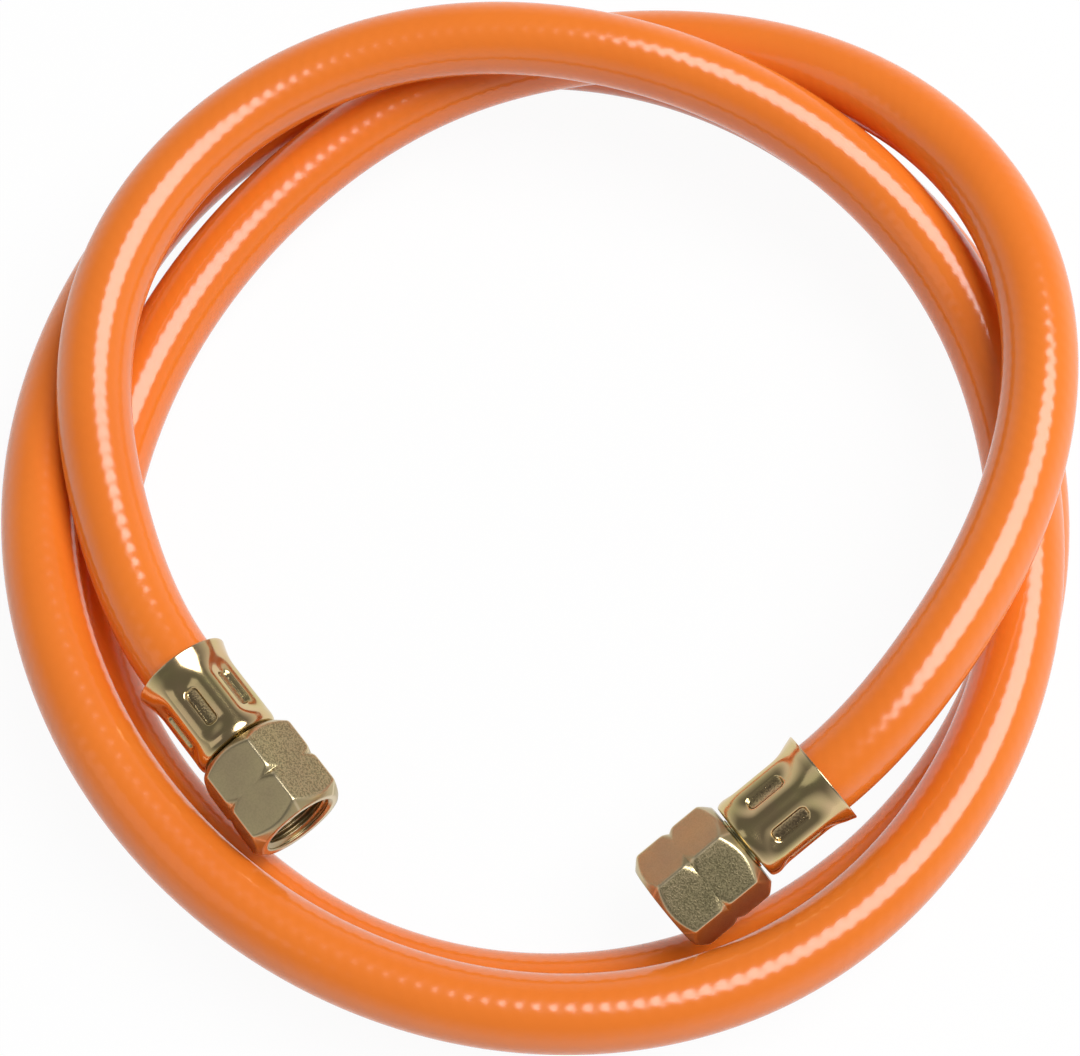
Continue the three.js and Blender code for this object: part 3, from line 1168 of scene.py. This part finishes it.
@dataclass(frozen=True)
class StudioCamera:
    """The photograph's viewpoint: from above, a little towards the viewer."""

    bearing: float = math.radians(51.1)
    elevation: float = math.radians(70)
    distance: float = 442 * MM
    aim: tuple[float, float, float] = (5.72 * MM, -8.05 * MM, 14.92 * MM)
    focal_pixels: float = 2464
    image_width: float = 1080
    sensor_width: float = 36
    clip: tuple[float, float] = (0.01, 20)

    def build(self) -> None:
        """Makes the camera and gives it to the scene."""
        data = bpy.data.cameras.new("studio_camera")
        data.sensor_width = self.sensor_width
        data.lens = self.focal_pixels / self.image_width * self.sensor_width
        data.clip_start, data.clip_end = self.clip
        camera = new_object("studio_camera", data)
        east, north, level = math.sin(self.bearing), -math.cos(self.bearing), math.cos(self.elevation)
        back = Vector((east * level, north * level, math.sin(self.elevation)))
        camera.location = Vector(self.aim) + back * self.distance
        camera.rotation_euler = (-back).to_track_quat("-Z", "Y").to_euler()
        bpy.context.scene.camera = camera


@dataclass(frozen=True)
class SoftBox:
    """A soft studio lamp, placed in the viewer's own directions."""

    name: str
    shape: LampShape
    right: float
    away: float
    up: float
    width: float
    depth: float
    radiance: float

    def build(self, camera: StudioCamera) -> None:
        """Makes the lamp, aimed at the coil.

        Args:
            camera: The camera, whose bearing sets what is right and away.
        """
        data = bpy.data.lights.new(self.name, "AREA")
        data.shape, filled = self.shape.value
        data.size = self.width
        data.size_y = self.depth
        data.energy = self.radiance * math.pi * self.width * self.depth * filled
        lamp = new_object(self.name, data)
        across = Vector((math.cos(camera.bearing), math.sin(camera.bearing), 0))
        away = Vector((-math.sin(camera.bearing), math.cos(camera.bearing), 0))
        lamp.location = across * self.right + away * self.away + Vector((0, 0, self.up))
        lamp.rotation_euler = (-lamp.location).to_track_quat("-Z", "Y").to_euler()


@dataclass(frozen=True)
class Studio:
    """Pale floor, white surroundings and soft lamps."""

    floor_size: float = 6.0
    floor_white: float = 0.86
    floor_roughness: float = 0.9
    floor_specular: float = 0.1
    shown_white: float = 0.95
    zenith: float = 0.16
    horizon: float = 0.8
    falloff: tuple[float, float] = (0.05, 0.6)
    lamps: tuple[SoftBox, ...] = (
        SoftBox("key_softbox", LampShape.ROUND, 0.63, 0.12, 1.36, 1.2, 1.2, 6.6),
        SoftBox("left_softbox", LampShape.BOX, -0.75, -0.35, 0.85, 0.5, 0.7, 0.5),
    )

    def build(self, camera: StudioCamera) -> None:
        """Makes the floor, the surroundings and the lamps.

        Args:
            camera: The camera, whose bearing places the lamps.
        """
        self.build_floor()
        self.build_world()
        for lamp in self.lamps:
            lamp.build(camera)
        bpy.context.scene.view_settings.view_transform = "Standard"

    def build_floor(self) -> None:
        """Makes the floor, which keeps the coil's shadow.

        It shows white to the camera, off metal and through glass.
        """
        half = self.floor_size / 2
        mesh = bpy.data.meshes.new("studio_floor")
        corners = [(-half, -half, 0), (half, -half, 0), (half, half, 0), (-half, half, 0)]
        mesh.from_pydata(corners, [], [(0, 1, 2, 3)])
        floor = new_object("studio_floor", mesh)
        looks = {
            "Base Color": (self.floor_white,) * 3 + (1.0,),
            "Roughness": self.floor_roughness,
            "Specular IOR Level": self.floor_specular,
        }
        material, sheet, surface = new_material("floor_white", looks)
        rays = sheet.add("ShaderNodeLightPath")
        seen = rays.outputs["Is Camera Ray"]
        for kind in ("Is Transmission Ray", "Is Glossy Ray"):
            seen = sheet.math("MAXIMUM", seen, rays.outputs[kind])
        glow = sheet.add("ShaderNodeEmission", {"Strength": 1.0})
        mixed = sheet.add("ShaderNodeMixShader")
        sheet.join(sheet.math("MULTIPLY", seen, self.shown_white), mixed.inputs["Fac"])
        sheet.join(surface.outputs["BSDF"], mixed.inputs[1])
        sheet.join(glow.outputs["Emission"], mixed.inputs[2])
        leave = material.node_tree.nodes["Material Output"]
        sheet.join(mixed.outputs["Shader"], leave.inputs["Surface"])
        mesh.materials.append(material)

    def build_world(self) -> None:
        """Makes the surroundings: white to the camera, bright at the horizon, dim overhead."""
        world = bpy.data.worlds.new("studio_surroundings")
        world.use_nodes = True
        bpy.context.scene.world = world
        sheet = NodeSheet(world.node_tree)
        backdrop = world.node_tree.nodes["Background"]
        fill(backdrop, {"Color": WHITE})
        place = sheet.add("ShaderNodeTexCoord")
        split = sheet.add("ShaderNodeSeparateXYZ")
        sheet.join(place.outputs["Generated"], split.inputs["Vector"])
        level = sheet.ranged(split.outputs["Z"], self.falloff, (self.horizon, self.zenith))
        rays = sheet.add("ShaderNodeLightPath")
        strength = sheet.math("MAXIMUM", level, rays.outputs["Is Camera Ray"])
        sheet.join(strength, backdrop.inputs["Strength"])


def main() -> None:
    """Builds the scene: camera, hose, fittings and studio."""
    logging.basicConfig(level=logging.INFO, format="%(name)s: %(message)s")
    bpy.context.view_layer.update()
    camera = StudioCamera()
    camera.build()
    LOG.info("camera at %.0f degrees above the floor", math.degrees(camera.elevation))

    effects = EffectGroups()
    materials = {
        Slot.HOSE: HoseFinish().material(effects),
        Slot.FERRULE: FERRULE_FINISH.material(effects),
        Slot.NIPPLE: NIPPLE_FINISH.material(effects),
        Slot.NUT: NUT_FINISH.material(effects),
    }

    hose = CoiledHose(CoilRoute())
    tube = hose.build("gas_hose_tube")
    dress(tube, materials[Slot.HOSE])
    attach(tube, Body.HOSE.value)
    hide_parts("hose")
    line, _ = hose.centreline()

    place_a, place_b = hose.route.ends()
    EndFitting(End.A, place_a, Body.NUT_A, pocket_turn=13, nut_turn=-6).build(materials)
    fitting_b = EndFitting(End.B, place_b, Body.NUT_B, pocket_turn=30.5, nut_turn=12)
    pieces_b = fitting_b.build(materials)

    Studio().build(camera)


if __name__ == "__main__":
    main()
